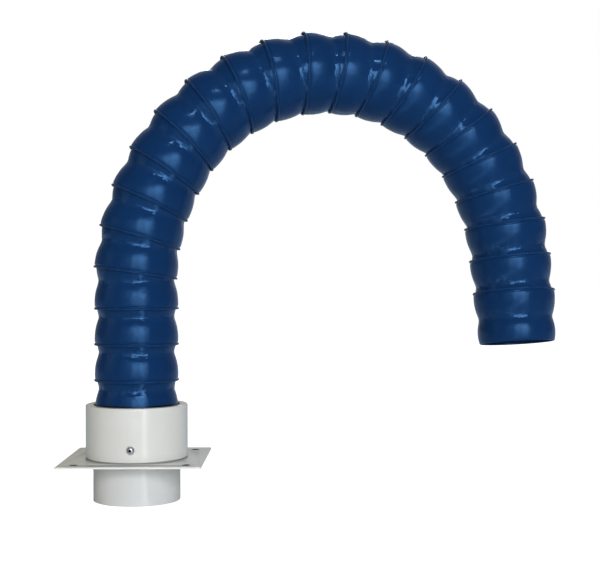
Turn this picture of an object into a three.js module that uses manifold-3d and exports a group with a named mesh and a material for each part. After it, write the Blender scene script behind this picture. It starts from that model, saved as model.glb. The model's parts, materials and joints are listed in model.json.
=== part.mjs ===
// Fume extraction arm: moulded ball-and-socket segments standing on a flanged duct base.
// Millimetres, +Z up. The origin is the centre of the plate's underside, with the plate's edges
// along X and Y.

import * as THREE from 'three';
import { mergeVertices } from 'three/addons/utils/BufferGeometryUtils.js';
import Module from 'manifold-3d';

const wasm = await Module();
wasm.setup();

// Mounting plate
const plateSide = 160;
const plateThickness = 2;
const plateCornerRadius = 2;
const mountingHoleInset = 18;
const mountingHoleDiameter = 9;

// Duct spigot, the tube that goes through the plate
const spigotDiameter = 99.5;
const spigotWall = 1.5;
const spigotBelowPlate = 46.5;
const spigotAbovePlate = 31;
const spigotEdgeChamfer = 0.8;

// Collar and what it clamps
const collarHeight = 60;
const collarRimWidth = 9.2;
const collarSkirtWall = 4.2;
const collarMouthGap = 0.6;
const collarRimRadius = 1.5;
const collarMouthChamfer = 1;
const collarFootChamfer = 0.6;
const gasketThickness = 0.8;
const gasketInset = 0.4;
const adapterSleeveWall = 3.4;
const adapterShoulder = 3.7;
const adapterWeb = 1.9;
const ballAboveWeb = 20;
const ductSealThickness = 1.5;

// Screws that hold collar, adapter and spigot together, with button heads and hexagon sockets
const screwCount = 3;
const screwFirstAngle = -90;
const screwHeightOnCollar = 13.5;
const screwShankDiameter = 5;
const screwHoleDiameter = 5.6;
const screwHeadDiameter = 9.5;
const screwHeadHeight = 2.75;
const screwFlatDiameter = 3.8;
const screwSocketAcrossFlats = 3;
const screwSocketDepth = 1.6;
const screwSeatDiameter = 10.8;
const screwSeatDepth = 1;

// One arm segment: a socket at the base end and a ball at the free end
const ballRadius = 45.6;
const ballClearance = 0.7;
const segmentWall = 1.5;
const segmentPitch = 41;
const bendLimit = 12;
const neckClearance = 0.55;
const lipDepth = 8;
const lipFlare = 0.3;
const lipBead = 0.7;
const lipBeadWidth = 2.2;
const rimReach = 12.5;

// How the arm stands: the joints of each stretch, and the turn of each joint there in degrees
const armAzimuth = 9;
const stretches = [
  { name: 'riser', joints: 3, bend: 0, lean: 0 },
  { name: 'rise', joints: 4, bend: 8.6, lean: 0.3 },
  { name: 'crown', joints: 5, bend: 11, lean: 0 },
  { name: 'return', joints: 6, bend: 11, lean: 0.8 },
  { name: 'fall', joints: 2, bend: 8.4, lean: 0.9 },
  { name: 'drop', joints: 2, bend: 2.8, lean: 2.1 },
];

// Clearances and facets
const fit = 0.3;
const swivelClearance = 0.6;
const segmentSides = 18;
const baseSides = 28;
const holeSides = 12;
const hexagonSides = 6;
const arcSteps = 3;
const domeSteps = 2;
const weldDistance = 1e-3;
const drillOvershoot = 2;

const degree = Math.PI / 180;

const finish = {
  plasticBlue: new THREE.MeshStandardMaterial({ color: 0x1b3f7a, roughness: 0.34, metalness: 0 }),
  paintedWhite: new THREE.MeshStandardMaterial({ color: 0xdcdcd8, roughness: 0.42, metalness: 0 }),
  plasticBlack: new THREE.MeshStandardMaterial({ color: 0x1c1d1f, roughness: 0.5, metalness: 0 }),
  rubberGrey: new THREE.MeshStandardMaterial({ color: 0x6f6f69, roughness: 0.8, metalness: 0 }),
  steelBright: new THREE.MeshStandardMaterial({ color: 0xc4c6c8, roughness: 0.28, metalness: 1 }),
};

// A point of a round stretch, as radius and height, at an angle above the level through its centre
function onArc(radius, centreHeight, angle) {
  return [radius * Math.cos(angle), centreHeight + radius * Math.sin(angle)];
}

// Points of a round stretch from one angle to another, both ends included
function arc(radius, centreHeight, from, to, steps) {
  const points = [];
  for (let i = 0; i <= steps; i += 1) {
    points.push(onArc(radius, centreHeight, from + ((to - from) * i) / steps));
  }
  return points;
}

// A fillet's points, about a centre that may lie off the axis
function fillet(centreRadius, centreHeight, radius, from, to, steps) {
  return arc(radius, centreHeight, from, to, steps).map(([r, z]) => [centreRadius + r, z]);
}

// Turns a closed outline of radius and height, drawn up its outside, about the Z axis
function ring(outline, sides) {
  const closed = [...outline, outline[0]].map(([r, z]) => new THREE.Vector2(r, z));
  return new THREE.LatheGeometry(closed, sides).rotateX(Math.PI / 2);
}

// Turns an outline that starts and ends on the axis about the Z axis
function turned(outline, sides) {
  const points = outline.map(([r, z]) => new THREE.Vector2(r, z));
  return new THREE.LatheGeometry(points, sides).rotateX(Math.PI / 2);
}

function toSolid(geometry) {
  const bare = geometry.clone();
  bare.deleteAttribute('normal');
  bare.deleteAttribute('uv');
  const merged = mergeVertices(bare, weldDistance);
  return new wasm.Manifold(new wasm.Mesh({
    numProp: 3,
    vertProperties: new Float32Array(merged.attributes.position.array),
    triVerts: new Uint32Array(merged.index.array),
  }));
}

function toGeometry(solid) {
  const mesh = solid.getMesh();
  const geometry = new THREE.BufferGeometry();
  geometry.setAttribute('position', new THREE.BufferAttribute(mesh.vertProperties, 3));
  geometry.setIndex(new THREE.BufferAttribute(mesh.triVerts, 1));
  geometry.computeVertexNormals();
  return geometry;
}

function cut(geometry, tools) {
  let solid = toSolid(geometry);
  for (const tool of tools) {
    solid = solid.subtract(toSolid(tool));
  }
  return toGeometry(solid);
}

function part(name, geometry, material) {
  const mesh = new THREE.Mesh(geometry, material);
  mesh.name = name;
  return mesh;
}

// Radii that every ball and socket shares. The lip flares a little below the socket's centre, and
// the neck clears the next lip at full bend.
const socketRadius = ballRadius + ballClearance;
const shellRadius = socketRadius + segmentWall;
const beadRadius = shellRadius + lipBead;
const lipMouth = socketRadius + lipFlare;
const neckRadius = lipMouth * Math.cos(bendLimit * degree) - lipDepth * Math.sin(bendLimit * degree)
  - neckClearance;
const neckBore = neckRadius - segmentWall;

// Heights and radii that the base pieces share
const spigotRadius = spigotDiameter / 2;
const spigotBore = spigotRadius - spigotWall;
const spigotTop = plateThickness + spigotAbovePlate;
const collarMouth = beadRadius + collarMouthGap;
const sleeveInside = spigotRadius + fit;
const sleeveOutside = Math.max(sleeveInside + adapterSleeveWall, collarMouth + adapterShoulder);
const collarBore = sleeveOutside + fit;
const collarRadius = Math.max(collarMouth + collarRimWidth, collarBore + collarSkirtWall);
const gasketFoot = plateThickness + fit;
const collarFoot = gasketFoot + gasketThickness + fit;
const collarTop = collarFoot + collarHeight;
const sealFoot = spigotTop + fit;
const webUnderside = sealFoot + ductSealThickness + fit;
const webTop = webUnderside + adapterWeb;
const firstBallHeight = webTop + ballAboveWeb;
const screwHeight = collarFoot + screwHeightOnCollar;
const screwSeatRadius = collarRadius - screwSeatDepth;
const screwLength = screwSeatRadius - spigotRadius - fit;
const screwAngles = Array.from(
  { length: screwCount },
  (_, i) => (screwFirstAngle + (360 * i) / screwCount) * degree,
);

// The flanged plate: a square sheet with the spigot's hole and four corner holes
function mountingPlate() {
  const half = plateSide / 2;
  const r = plateCornerRadius;
  const sheet = new THREE.Shape();
  sheet.moveTo(half, r - half);
  sheet.lineTo(half, half - r);
  sheet.absarc(half - r, half - r, r, 0, Math.PI / 2, false);
  sheet.lineTo(r - half, half);
  sheet.absarc(r - half, half - r, r, Math.PI / 2, Math.PI, false);
  sheet.lineTo(-half, r - half);
  sheet.absarc(r - half, r - half, r, Math.PI, 1.5 * Math.PI, false);
  sheet.lineTo(half - r, -half);
  sheet.absarc(half - r, r - half, r, 1.5 * Math.PI, 2 * Math.PI, false);
  const corner = half - mountingHoleInset;
  const holes = [[0, 0, spigotRadius + fit, baseSides]];
  for (const [x, y] of [[1, 1], [-1, 1], [-1, -1], [1, -1]]) {
    holes.push([x * corner, y * corner, mountingHoleDiameter / 2, holeSides]);
  }
  sheet.holes = holes.map(([x, y, radius, sides]) => {
    const path = new THREE.Path();
    for (let i = 0; i < sides; i += 1) {
      const angle = (-2 * Math.PI * i) / sides;
      const point = [x + radius * Math.cos(angle), y + radius * Math.sin(angle)];
      if (i === 0) path.moveTo(...point);
      else path.lineTo(...point);
    }
    path.closePath();
    return path;
  });
  return new THREE.ExtrudeGeometry(sheet, {
    depth: plateThickness,
    bevelEnabled: false,
    curveSegments: arcSteps,
  });
}

// The spigot: a plain tube with its outer edges broken
function ductSpigot() {
  const foot = -spigotBelowPlate;
  return ring([
    [spigotBore, foot],
    [spigotRadius - spigotEdgeChamfer, foot],
    [spigotRadius, foot + spigotEdgeChamfer],
    [spigotRadius, spigotTop],
    [spigotBore, spigotTop],
  ], baseSides);
}

// A flat ring of rectangular section
function washer(inside, outside, foot, thickness) {
  return ring([
    [inside, foot],
    [outside, foot],
    [outside, foot + thickness],
    [inside, foot + thickness],
  ], baseSides);
}

// A tool that drills straight inwards at one screw, from outside the collar
function drill(angle, radius, innerEnd) {
  const length = collarRadius + drillOvershoot - innerEnd;
  const tool = new THREE.CylinderGeometry(radius, radius, length, holeSides);
  tool.rotateZ(Math.PI / 2);
  tool.translate(innerEnd + length / 2, 0, screwHeight);
  tool.rotateZ(angle);
  return tool;
}

// The collar: a thick ring with a rounded rim, a wide bore for the adapter below and a mouth above
function collar() {
  const body = ring([
    [collarBore, collarFoot],
    [collarRadius - collarFootChamfer, collarFoot],
    [collarRadius, collarFoot + collarFootChamfer],
    ...fillet(collarRadius - collarRimRadius, collarTop - collarRimRadius, collarRimRadius,
      0, Math.PI / 2, arcSteps),
    [collarMouth + collarMouthChamfer, collarTop],
    [collarMouth, collarTop - collarMouthChamfer],
    [collarMouth, webTop + fit],
    [collarBore, webTop + fit],
  ], baseSides);
  const tools = screwAngles.flatMap((angle) => [
    drill(angle, screwHoleDiameter / 2, collarBore - drillOvershoot),
    drill(angle, screwSeatDiameter / 2, screwSeatRadius),
  ]);
  return cut(body, tools);
}

// The adapter: a sleeve over the spigot, a web over its end, and the ball that carries the arm
function ballAdapter() {
  const radius = ballRadius - swivelClearance;
  const bore = radius - segmentWall;
  const rim = Math.asin(rimReach / radius);
  const neckAngle = -Math.acos(neckRadius / radius);
  const body = ring([
    [sleeveInside, gasketFoot],
    [sleeveOutside, gasketFoot],
    [sleeveOutside, webTop],
    [collarMouth - fit, webTop],
    ...arc(radius, firstBallHeight, neckAngle, rim, domeSteps),
    [bore * Math.cos(rim), firstBallHeight + rimReach],
    [bore, firstBallHeight],
    [neckBore, firstBallHeight + radius * Math.sin(neckAngle)],
    [neckBore + segmentWall, webUnderside],
    [sleeveInside, webUnderside],
  ], baseSides);
  const tools = screwAngles.map(
    (angle) => drill(angle, screwHoleDiameter / 2, sleeveInside - drillOvershoot),
  );
  return cut(body, tools);
}

// A button-head screw along Z, with its seat at the origin and its head above
function collarScrew() {
  const headRadius = screwHeadDiameter / 2;
  const domeRadius = (headRadius ** 2 + screwHeadHeight ** 2) / (2 * screwHeadHeight);
  const flatRadius = screwFlatDiameter / 2;
  const domeCentre = screwHeadHeight - domeRadius;
  const dome = arc(domeRadius, domeCentre, Math.asin(-domeCentre / domeRadius),
    Math.acos(flatRadius / domeRadius), domeSteps);
  const body = turned([
    [0, -screwLength],
    [screwShankDiameter / 2, -screwLength],
    [screwShankDiameter / 2, 0],
    ...dome,
    [0, dome.at(-1)[1]],
  ], holeSides);
  const key = new THREE.CylinderGeometry(
    screwSocketAcrossFlats / Math.sqrt(3),
    screwSocketAcrossFlats / Math.sqrt(3),
    2 * screwSocketDepth,
    hexagonSides,
  );
  key.rotateX(Math.PI / 2).translate(0, 0, dome.at(-1)[1]);
  return cut(body, [key]);
}

// One arm segment about its socket's centre: beaded lip, bulged shell, neck, ball and open bore
function armSegment() {
  const beadTop = -Math.asin((lipDepth - lipBeadWidth) / shellRadius);
  const shellEnd = Math.acos(neckRadius / shellRadius);
  const ballStart = -Math.acos(neckRadius / ballRadius);
  const rim = Math.asin(rimReach / ballRadius);
  const socketStart = Math.acos(neckBore / socketRadius);
  return ring([
    [beadRadius, -lipDepth],
    ...arc(shellRadius, 0, beadTop, shellEnd, domeSteps),
    ...arc(ballRadius, segmentPitch, ballStart, rim, arcSteps),
    [(ballRadius - segmentWall) * Math.cos(rim), segmentPitch + rimReach],
    [ballRadius - segmentWall, segmentPitch],
    ...arc(socketRadius, 0, socketStart, 0, domeSteps),
    [lipMouth, -lipDepth],
  ], segmentSides);
}

const arm = new THREE.Group();
arm.name = 'fume_extraction_arm';

arm.add(part('mounting_plate', mountingPlate(), finish.paintedWhite));
arm.add(part('duct_spigot', ductSpigot(), finish.paintedWhite));
arm.add(part('collar', collar(), finish.paintedWhite));
arm.add(part('ball_adapter', ballAdapter(), finish.plasticBlack));
arm.add(part(
  'collar_gasket',
  washer(collarBore + gasketInset, collarRadius - gasketInset, gasketFoot, gasketThickness),
  finish.rubberGrey,
));
arm.add(part(
  'duct_seal',
  washer(spigotBore, spigotRadius, sealFoot, ductSealThickness),
  finish.rubberGrey,
));

screwAngles.forEach((angle, i) => {
  const screw = part(`collar_screw_${i + 1}`, collarScrew(), finish.steelBright);
  const seat = screwSeatRadius + fit / 2;
  screw.rotation.set(0, Math.PI / 2, angle, 'ZYX');
  screw.position.set(seat * Math.cos(angle), seat * Math.sin(angle), screwHeight);
  arm.add(screw);
});

// The arm hangs together as a chain: each segment's group sits on the ball of the one before it
const bends = stretches.flatMap(({ joints, bend, lean }) => Array(joints).fill({ bend, lean }));
let carrier = new THREE.Group();
carrier.position.z = firstBallHeight;
carrier.rotation.z = armAzimuth * degree;
arm.add(carrier);
const segmentGeometry = armSegment();
for (let i = 0; i <= bends.length; i += 1) {
  const number = String(i + 1).padStart(2, '0');
  carrier.add(part(`arm_segment_${number}`, segmentGeometry, finish.plasticBlue));
  if (i < bends.length) {
    const next = new THREE.Group();
    next.position.z = segmentPitch;
    next.rotation.set(bends[i].lean * degree, bends[i].bend * degree, 0, 'XYZ');
    carrier.add(next);
    carrier = next;
  }
}

export default arm;
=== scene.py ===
import json
import math
import bmesh
import bpy
from mathutils import Matrix, Vector


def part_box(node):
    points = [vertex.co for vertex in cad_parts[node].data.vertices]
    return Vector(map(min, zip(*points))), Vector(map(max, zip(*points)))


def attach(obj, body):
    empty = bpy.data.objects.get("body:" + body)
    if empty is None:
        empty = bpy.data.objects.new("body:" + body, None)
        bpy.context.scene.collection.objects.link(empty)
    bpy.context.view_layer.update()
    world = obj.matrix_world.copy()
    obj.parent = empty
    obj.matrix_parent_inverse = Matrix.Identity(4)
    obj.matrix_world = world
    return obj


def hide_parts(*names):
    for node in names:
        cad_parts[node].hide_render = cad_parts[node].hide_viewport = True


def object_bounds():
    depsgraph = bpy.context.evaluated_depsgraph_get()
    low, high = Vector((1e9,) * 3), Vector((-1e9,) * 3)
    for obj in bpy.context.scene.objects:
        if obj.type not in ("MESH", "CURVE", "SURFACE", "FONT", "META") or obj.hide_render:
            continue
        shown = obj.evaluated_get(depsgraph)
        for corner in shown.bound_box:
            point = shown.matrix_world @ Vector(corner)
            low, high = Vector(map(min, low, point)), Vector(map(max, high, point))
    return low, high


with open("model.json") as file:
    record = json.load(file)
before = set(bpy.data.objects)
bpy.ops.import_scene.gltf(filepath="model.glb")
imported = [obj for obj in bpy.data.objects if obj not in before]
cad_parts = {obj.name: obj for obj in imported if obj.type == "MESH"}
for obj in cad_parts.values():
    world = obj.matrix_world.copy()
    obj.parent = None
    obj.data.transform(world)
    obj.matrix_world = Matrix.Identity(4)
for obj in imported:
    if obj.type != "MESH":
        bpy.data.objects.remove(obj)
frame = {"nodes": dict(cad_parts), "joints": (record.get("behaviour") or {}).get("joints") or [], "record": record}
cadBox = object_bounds()
scene = bpy.context.scene
scene.view_settings.view_transform = "Standard"


# small helpers

fullTurn = 2 * math.pi
mergeDistance = 1e-6

plus = {"operation": "ADD"}  # settings that many nodes share
minus = {"operation": "SUBTRACT"}
times = {"operation": "MULTIPLY"}
over = {"operation": "DIVIDE"}
timesPlus = {"operation": "MULTIPLY_ADD"}
larger = {"operation": "MAXIMUM"}
below = {"operation": "LESS_THAN"}
unsigned = {"operation": "ABSOLUTE"}
aroundZ = {"rotation_type": "Z_AXIS"}
soft = {"interpolation_type": "SMOOTHSTEP"}
colours = {"data_type": "RGBA"}
numbers = {"data_type": "FLOAT"}
vectors = {"data_type": "FLOAT_VECTOR"}
seeded = {"noise_dimensions": "4D"}


def addNode(tree, kind, settings=None, inputs=None):  # a node as an input stands for its first live output
    node = tree.nodes.new(kind)
    for key, value in (settings or {}).items():
        setattr(node, key, value)
    for key, value in (inputs or {}).items():
        if isinstance(value, bpy.types.Node):
            value = next(socket for socket in value.outputs if socket.enabled)
        if isinstance(value, bpy.types.NodeSocket):
            tree.links.new(value, node.inputs[key])
        else:
            node.inputs[key].default_value = value
    return node


def spread(values):  # a map range's inputs: from and to, and the results there where they aren't 0 and 1
    return dict(zip((1, 2, 3, 4), values))


def linear(hexColour):  # "#rrggbb" as the eye sees it, to linear light
    channels = [int(hexColour[i:i + 2], 16) / 255 for i in (1, 3, 5)]
    return [c / 12.92 if c <= 0.04045 else ((c + 0.055) / 1.055) ** 2.4 for c in channels] + [1.0]


def link(obj):
    scene.collection.objects.link(obj)
    return obj


def plainMesh(obj):  # what the object's modifiers or curves make, as a mesh
    graph = bpy.context.evaluated_depsgraph_get()
    made = obj.evaluated_get(graph)
    return bpy.data.meshes.new_from_object(made, preserve_all_data_layers=True, depsgraph=graph)


def smoothMesh(mesh, sharpAngle=35):
    mesh.shade_smooth()
    mesh.set_sharp_from_angle(angle=math.radians(sharpAngle))
    return mesh


def arcPoints(centre, radius, start, end, steps):  # angles in degrees above the level
    points = []
    for i in range(steps + 1):
        angle = math.radians(start + (end - start) * i / steps)
        points.append(Vector((centre[0] + radius * math.cos(angle), centre[1] + radius * math.sin(angle))))
    return points


def roundedOutline(corners, steps=4, hold=0.0006, longSide=4):  # corners are (radius, height, rounding)
    outline = []
    for i, (r, z, rounding) in enumerate(corners):
        corner = Vector((r, z))
        before = Vector(corners[i - 1][:2]) - corner
        after = Vector(corners[(i + 1) % len(corners)][:2]) - corner
        half = before.angle(after) / 2
        reach = rounding / math.tan(half)
        centre = corner + (before.normalized() + after.normalized()).normalized() * rounding / math.sin(half)
        first = corner + before.normalized() * reach - centre
        last = corner + after.normalized() * reach - centre
        if before.length > longSide * (reach + hold):  # a point close by keeps the long side's shading flat
            outline.append(corner + before.normalized() * (reach + hold))
        turn = first.angle_signed(last)
        for step in range(steps + 1):
            outline.append(centre + Matrix.Rotation(-turn * step / steps, 2) @ first)
        if after.length > longSide * (reach + hold):
            outline.append(corner + after.normalized() * (reach + hold))
    return outline


# geometry nodes: a turned piece, swept round the Z axis from the outline of its wall

turning = {
    "rowNudge": 0.0001,  # keeps the division that finds a row from rounding down
    "noiseMiddle": 0.5,
    "dentNoise": {"Detail": 3.0, "Roughness": 0.62},
    "wrinkleNoise": {"Detail": 1.0},
    "wrinkleStretch": (1, 1, 1.6),
    "valleyPower": 4.0,
}


def newTree(name, sockets):  # sockets are (name, kind)
    tree = bpy.data.node_groups.new(name, "GeometryNodeTree")
    for title, kind in sockets:
        tree.interface.new_socket(title, in_out="INPUT", socket_type="NodeSocket" + kind)
    tree.interface.new_socket("Geometry", in_out="OUTPUT", socket_type="NodeSocketGeometry")
    return tree, addNode(tree, "NodeGroupInput").outputs


def endTree(tree, shape, finish):
    real = addNode(tree, "GeometryNodeRealizeInstances", None, {"Geometry": shape})
    finished = addNode(tree, "GeometryNodeSetMaterial", None, {"Geometry": real, "Material": finish})
    addNode(tree, "NodeGroupOutput", None, {"Geometry": finished})
    return tree


def turnedTree():
    tree, given = newTree("turnedPiece", (
        ("Outline", "Object"), ("Sides", "Int"), ("Dent Depth", "Float"), ("Dent Size", "Float"),
        ("Wrinkle Depth", "Float"), ("Wrinkle Size", "Float"), ("Seed", "Int"), ("Finish", "Material")))
    outline = addNode(tree, "GeometryNodeObjectInfo", None, {"Object": given["Outline"]}).outputs["Geometry"]
    rows = addNode(tree, "GeometryNodeAttributeDomainSize", {"component": "CURVE"}, {"Geometry": outline})
    columns = addNode(tree, "ShaderNodeMath", plus, {0: given["Sides"], 1: 1.0})
    grid = addNode(tree, "GeometryNodeMeshGrid", None,
                   {"Vertices X": rows.outputs["Point Count"], "Vertices Y": columns})

    index = addNode(tree, "GeometryNodeInputIndex")
    share = addNode(tree, "ShaderNodeMath", over, {0: index, 1: columns})
    nudged = addNode(tree, "ShaderNodeMath", plus, {0: share, 1: turning["rowNudge"]})
    row = addNode(tree, "ShaderNodeMath", {"operation": "FLOOR"}, {0: nudged})
    column = addNode(tree, "ShaderNodeMath", {"operation": "MODULO"}, {0: index, 1: columns})
    turn = addNode(tree, "ShaderNodeMath", over, {0: column, 1: given["Sides"]})
    angle = addNode(tree, "ShaderNodeMath", times, {0: turn, 1: fullTurn})
    place = addNode(tree, "GeometryNodeInputPosition")
    onOutline = addNode(tree, "GeometryNodeSampleIndex", vectors,
                        {"Geometry": outline, "Value": place, "Index": row})
    swept = addNode(tree, "ShaderNodeVectorRotate", aroundZ, {"Vector": onOutline, "Angle": angle})
    weight = addNode(tree, "GeometryNodeInputRadius")  # how freely the wall may dent there
    freely = addNode(tree, "GeometryNodeSampleIndex", numbers,
                     {"Geometry": outline, "Value": weight, "Index": row})
    marked = addNode(tree, "GeometryNodeStoreNamedAttribute", numbers,
                     {"Geometry": grid, "Name": "freely", "Value": freely})
    wall = addNode(tree, "GeometryNodeSetPosition", None, {"Geometry": marked, "Position": swept})
    closed = addNode(tree, "GeometryNodeMergeByDistance", None, {"Geometry": wall, "Distance": mergeDistance})

    def unevenness(at, size, depth, noiseInputs):
        frequency = addNode(tree, "ShaderNodeMath", over, {0: 1.0, 1: size})
        noise = addNode(tree, "ShaderNodeTexNoise", seeded,
                        {"Vector": at, "W": given["Seed"], "Scale": frequency, **noiseInputs})
        centred = addNode(tree, "ShaderNodeMath", minus, {0: noise, 1: turning["noiseMiddle"]})
        return addNode(tree, "ShaderNodeMath", times, {0: centred, 1: depth})

    marks = addNode(tree, "GeometryNodeInputNamedAttribute", numbers, {"Name": "freely"})
    dents = unevenness(place, given["Dent Size"], given["Dent Depth"], turning["dentNoise"])
    broad = addNode(tree, "ShaderNodeMath", times, {0: dents, 1: marks})
    stretched = addNode(tree, "ShaderNodeVectorMath", times, {0: place, 1: turning["wrinkleStretch"]})
    wrinkles = unevenness(stretched, given["Wrinkle Size"], given["Wrinkle Depth"], turning["wrinkleNoise"])
    inValley = addNode(tree, "ShaderNodeMath", {"operation": "POWER"}, {0: marks, 1: turning["valleyPower"]})
    depth = addNode(tree, "ShaderNodeMath", timesPlus, {0: wrinkles, 1: inValley, 2: broad})
    normal = addNode(tree, "GeometryNodeInputNormal")
    push = addNode(tree, "ShaderNodeVectorMath", {"operation": "SCALE"}, {"Vector": normal, "Scale": depth})
    dented = addNode(tree, "GeometryNodeSetPosition", None, {"Geometry": closed, "Offset": push})

    pointed = addNode(tree, "GeometryNodeStoreNamedAttribute", vectors,
                      {"Geometry": dented, "Name": "ownPoint", "Value": place})
    numbered = addNode(tree, "GeometryNodeStoreNamedAttribute", numbers,
                       {"Geometry": pointed, "Name": "ownSeed", "Value": given["Seed"]})
    clean = addNode(tree, "GeometryNodeRemoveAttribute", None, {"Geometry": numbered, "Name": "freely"})
    smoothed = addNode(tree, "GeometryNodeSetShadeSmooth", None, {"Geometry": clean})
    return endTree(tree, smoothed, given["Finish"])


def runTree(name, tree, values):  # the tree's result as a plain mesh
    obj = link(bpy.data.objects.new(name, bpy.data.meshes.new(name)))
    modifier = obj.modifiers.new(tree.name, "NODES")
    modifier.node_group = tree
    for item in tree.interface.items_tree:
        if item.in_out == "INPUT":
            modifier[item.identifier] = values[item.name]
    mesh = plainMesh(obj)
    obj.modifiers.remove(modifier)
    bpy.data.objects.remove(obj)
    mesh.name = name
    return mesh


turned = turnedTree()
noDents = {"Dent Depth": 0.0, "Dent Size": 0.02, "Wrinkle Depth": 0.0, "Wrinkle Size": 0.01}


def turnMesh(name, outline, finish, sides, weights=None, dents=noDents, seed=0):
    curve = bpy.data.curves.new(name + "Outline", "CURVE")
    curve.dimensions = "3D"
    spline = curve.splines.new("POLY")
    spline.points.add(len(outline))
    for i, point in enumerate(spline.points):
        r, z = outline[i % len(outline)]
        point.co = (r, 0, z, 1)
        point.radius = weights[i % len(outline)] if weights else 0.0
    drawn = link(bpy.data.objects.new(curve.name, curve))
    mesh = runTree(name, turned, {"Outline": drawn, "Sides": sides, "Seed": seed, "Finish": finish, **dents})
    bpy.data.objects.remove(drawn)
    return mesh


def addPiece(name, mesh, body, nodes):
    piece = link(bpy.data.objects.new(name, mesh))
    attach(piece, body)
    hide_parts(*nodes)
    return piece


# sizes of the pieces whose finishes need them too: plate, turned base pieces and arm segments

plate = {
    "thickness": 0.002,
    "cornerRadius": 0.002,
    "cornerSteps": 8,
    "edgeRound": 0.0004,
    "edgeSteps": 3,
    "sharpAngle": 40,
    "holeInset": 0.018,
    "holeDiameter": 0.009,
    "holeSides": 48,
    "spigotHole": 0.1001,
    "spigotSides": 128,
}

base = {
    "sides": 128,
    "edgeRound": 0.0003,
    "spigotWall": 0.0015,
    "spigotRound": 0.0006,
    "collarMouth": 0.0491,
    "collarBore": 0.05375,
    "collarRim": 0.0015,
    "collarMouthRound": 0.0010,
    "collarFootRound": 0.0006,
    "collarSteps": 6,
    "ledgeGap": 0.0003,
    "webTop": 0.0370,
    "webThickness": 0.0019,
    "sleeveInside": 0.05005,
    "sleeveOutside": 0.05345,
    "shoulder": 0.0488,
    "adapterNeck": 0.0434,
    "adapterNeckRise": 0.0004,
    "adapterSteps": (12, 10),
    "washerRound": 0.0002,
    "washerSwell": 0.00027,
}

segment = {  # freedom says how freely the wall may dent
    "ballRadius": 0.0456,
    "ballClearance": 0.0007,
    "swivelClearance": 0.0006,
    "wall": 0.0015,
    "bulgeRadius": 0.060,
    "coneAngle": 17.0,
    "valleyRound": 0.010,
    "lipDepth": 0.0080,
    "lipFlare": 0.0003,
    "lipEdge": (0.0003, 0.0004),
    "beadHeight": 0.0007,
    "beadWidth": 0.0026,
    "beadArc": (-85, 80),
    "grooveDepth": 0.0008,
    "grooveWidth": 0.0013,
    "grooveMiddle": 0.4,
    "rimReach": 0.0125,
    "rimRound": 0.4,
    "rimArc": (20, 160),
    "rimTrim": 0.8,
    "sides": 192,
    "steps": {"bead": 8, "shell": 12, "cone": 6, "valley": 12, "ball": 14, "rim": 4, "inside": 8},
    "freedom": {"bead": 0.15, "groove": 0.2, "shell": 0.4, "cone": 0.7, "valley": 1.0, "ball": 0.4},
    "dents": {"Dent Depth": 0.0018, "Dent Size": 0.011, "Wrinkle Depth": 0.0008, "Wrinkle Size": 0.0055},
    "firstSeed": 7,
}


def grooveHeight(share):  # a height in the groove behind the bead, from the socket's centre
    return segment["beadWidth"] + segment["grooveWidth"] * share - segment["lipDepth"]


# materials: sizes in metres, and a spread holds from and to with the values there

bumpDistance = 0.0001
grainDetail = 2.0
wavePitch = 0.314  # a wave texture repeats at this length when its scale is 1


def newMaterial(name):
    material = bpy.data.materials.new(name)
    material.use_nodes = True
    material.node_tree.nodes.clear()
    return material, material.node_tree


def addSurface(tree, inputs):
    shader = addNode(tree, "ShaderNodeBsdfPrincipled", None, inputs)
    addNode(tree, "ShaderNodeOutputMaterial", None, {"Surface": shader})


def cloudyBody(tree, place, look):  # two close tones in soft clouds
    cloud = addNode(tree, "ShaderNodeTexNoise", None,
                    {"Vector": place, "Scale": 1 / look["cloudSize"], "Detail": look["cloudDetail"]})
    dark, pale = look["tones"]
    return cloud, addNode(tree, "ShaderNodeMix", colours, {0: cloud, 6: linear(dark), 7: linear(pale)})


def fineGrain(tree, place, look):
    grain = addNode(tree, "ShaderNodeTexNoise", None,
                    {"Vector": place, "Scale": 1 / look["grainSize"], "Detail": grainDetail})
    return addNode(tree, "ShaderNodeBump", None,
                   {"Strength": look["grainStrength"], "Distance": bumpDistance, "Height": grain})


def colourWithin(tree, under, where, within, colour, pattern=None):  # colours what lies within a spread, for dust as well as painted shade and painted highlights
    share = addNode(tree, "ShaderNodeMapRange", soft if pattern else None, {0: where, **spread(within)})
    if pattern:
        share = addNode(tree, "ShaderNodeMath", times, {0: share, 1: pattern})
    return addNode(tree, "ShaderNodeMix", colours, {0: share, 6: under, 7: linear(colour)})


def distanceFrom(tree, value, middle):
    signed = addNode(tree, "ShaderNodeMath", minus, {0: value, 1: middle})
    return addNode(tree, "ShaderNodeMath", unsigned, {0: signed})


def offAxis(tree, place):  # distance from the Z axis
    level = addNode(tree, "ShaderNodeVectorMath", times, {0: place, 1: (1, 1, 0)})
    return addNode(tree, "ShaderNodeVectorMath", {"operation": "LENGTH"}, {0: level})


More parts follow.
